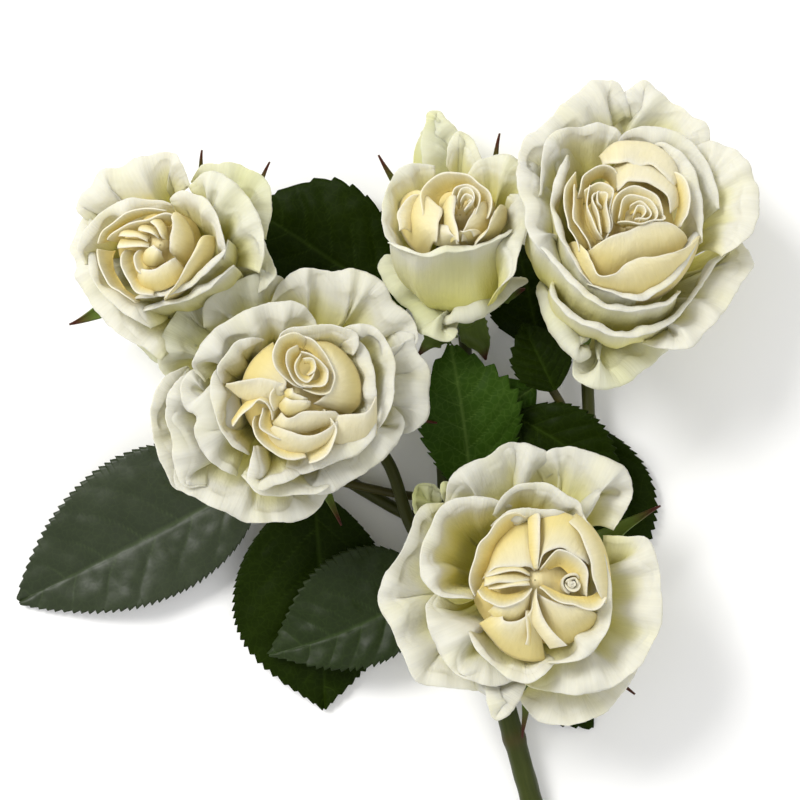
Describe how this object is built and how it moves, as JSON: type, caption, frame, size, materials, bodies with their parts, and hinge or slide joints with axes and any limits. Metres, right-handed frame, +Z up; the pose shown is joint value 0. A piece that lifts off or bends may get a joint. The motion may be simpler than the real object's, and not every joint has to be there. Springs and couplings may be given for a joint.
{
  "type": "cut spray rose",
  "caption": "Cut stem of white garden-type spray roses: ruffled open blooms and a half-open bud on one stem, with toothed leaves.",
  "frame": {"origin": "on the surface the spray lies on, under the middle of its bounding box", "axes": "+Z up from the surface, +Y along the spray from the cut end of the stem to the crown of blooms, +X to the right when the cut end is nearest"},
  "size_m": [0.1834, 0.3194, 0.0543],
  "materials": {
    "petal": "velvety matt white petal, cream to yellow deep in the cup",
    "petal_heart": "velvety matt cream petals with a peach centre",
    "sepal_green": "soft yellow-green calyx, satin, red-brown tips",
    "green_stem": "smooth olive-green bark, satin",
    "leaf": "dark green leaf with a waxy grey sheen"
  },
  "bodies": {
    "root": {"stem": "green_stem", "heart_a": "petal_heart", "petal_a_inner_1": "petal", "petal_a_inner_2": "petal", "petal_a_inner_3": "petal", "petal_a_outer_1": "petal", "petal_a_outer_2": "petal", "petal_a_outer_3": "petal", "petal_a_outer_4": "petal", "petal_a_outer_5": "petal", "flower_stalk_a": "sepal_green", "heart_b": "petal_heart", "petal_b_inner_1": "petal", "petal_b_inner_2": "petal", "petal_b_inner_3": "petal", "petal_b_outer_1": "petal", "petal_b_outer_2": "petal", "petal_b_outer_3": "petal", "petal_b_outer_4": "petal", "petal_b_outer_5": "petal", "flower_stalk_b": "sepal_green", "heart_c": "petal_heart", "petal_c_inner_1": "petal", "petal_c_inner_2": "petal", "petal_c_inner_3": "petal", "petal_c_outer_1": "petal", "petal_c_outer_2": "petal", "petal_c_outer_3": "petal", "petal_c_outer_4": "petal", "petal_c_outer_5": "petal", "flower_stalk_c": "sepal_green", "heart_d": "petal_heart", "petal_d_outer_1": "petal", "petal_d_outer_2": "petal", "petal_d_outer_3": "petal", "petal_d_outer_4": "petal", "petal_d_outer_5": "petal", "flower_stalk_d": "sepal_green", "heart_e": "petal_heart", "petal_e_inner_1": "petal", "petal_e_inner_2": "petal", "petal_e_inner_3": "petal", "petal_e_outer_1": "petal", "petal_e_outer_2": "petal", "petal_e_outer_3": "petal", "petal_e_outer_4": "petal", "flower_stalk_e": "sepal_green", "leaf_stalk_left": "green_stem", "leaf_stalk_right": "green_stem", "leaflet_left_end": "leaf", "leaflet_left_low": "leaf", "leaflet_left_front": "leaf", "leaflet_back_left": "leaf", "leaflet_middle": "leaf", "leaflet_right_front": "leaf", "leaflet_right_back": "leaf", "leaflet_side_end": "leaf", "leaflet_side_low": "leaf", "leaflet_side_middle": "leaf", "leaflet_under_bloom": "leaf"}
  },
  "joints": []
}
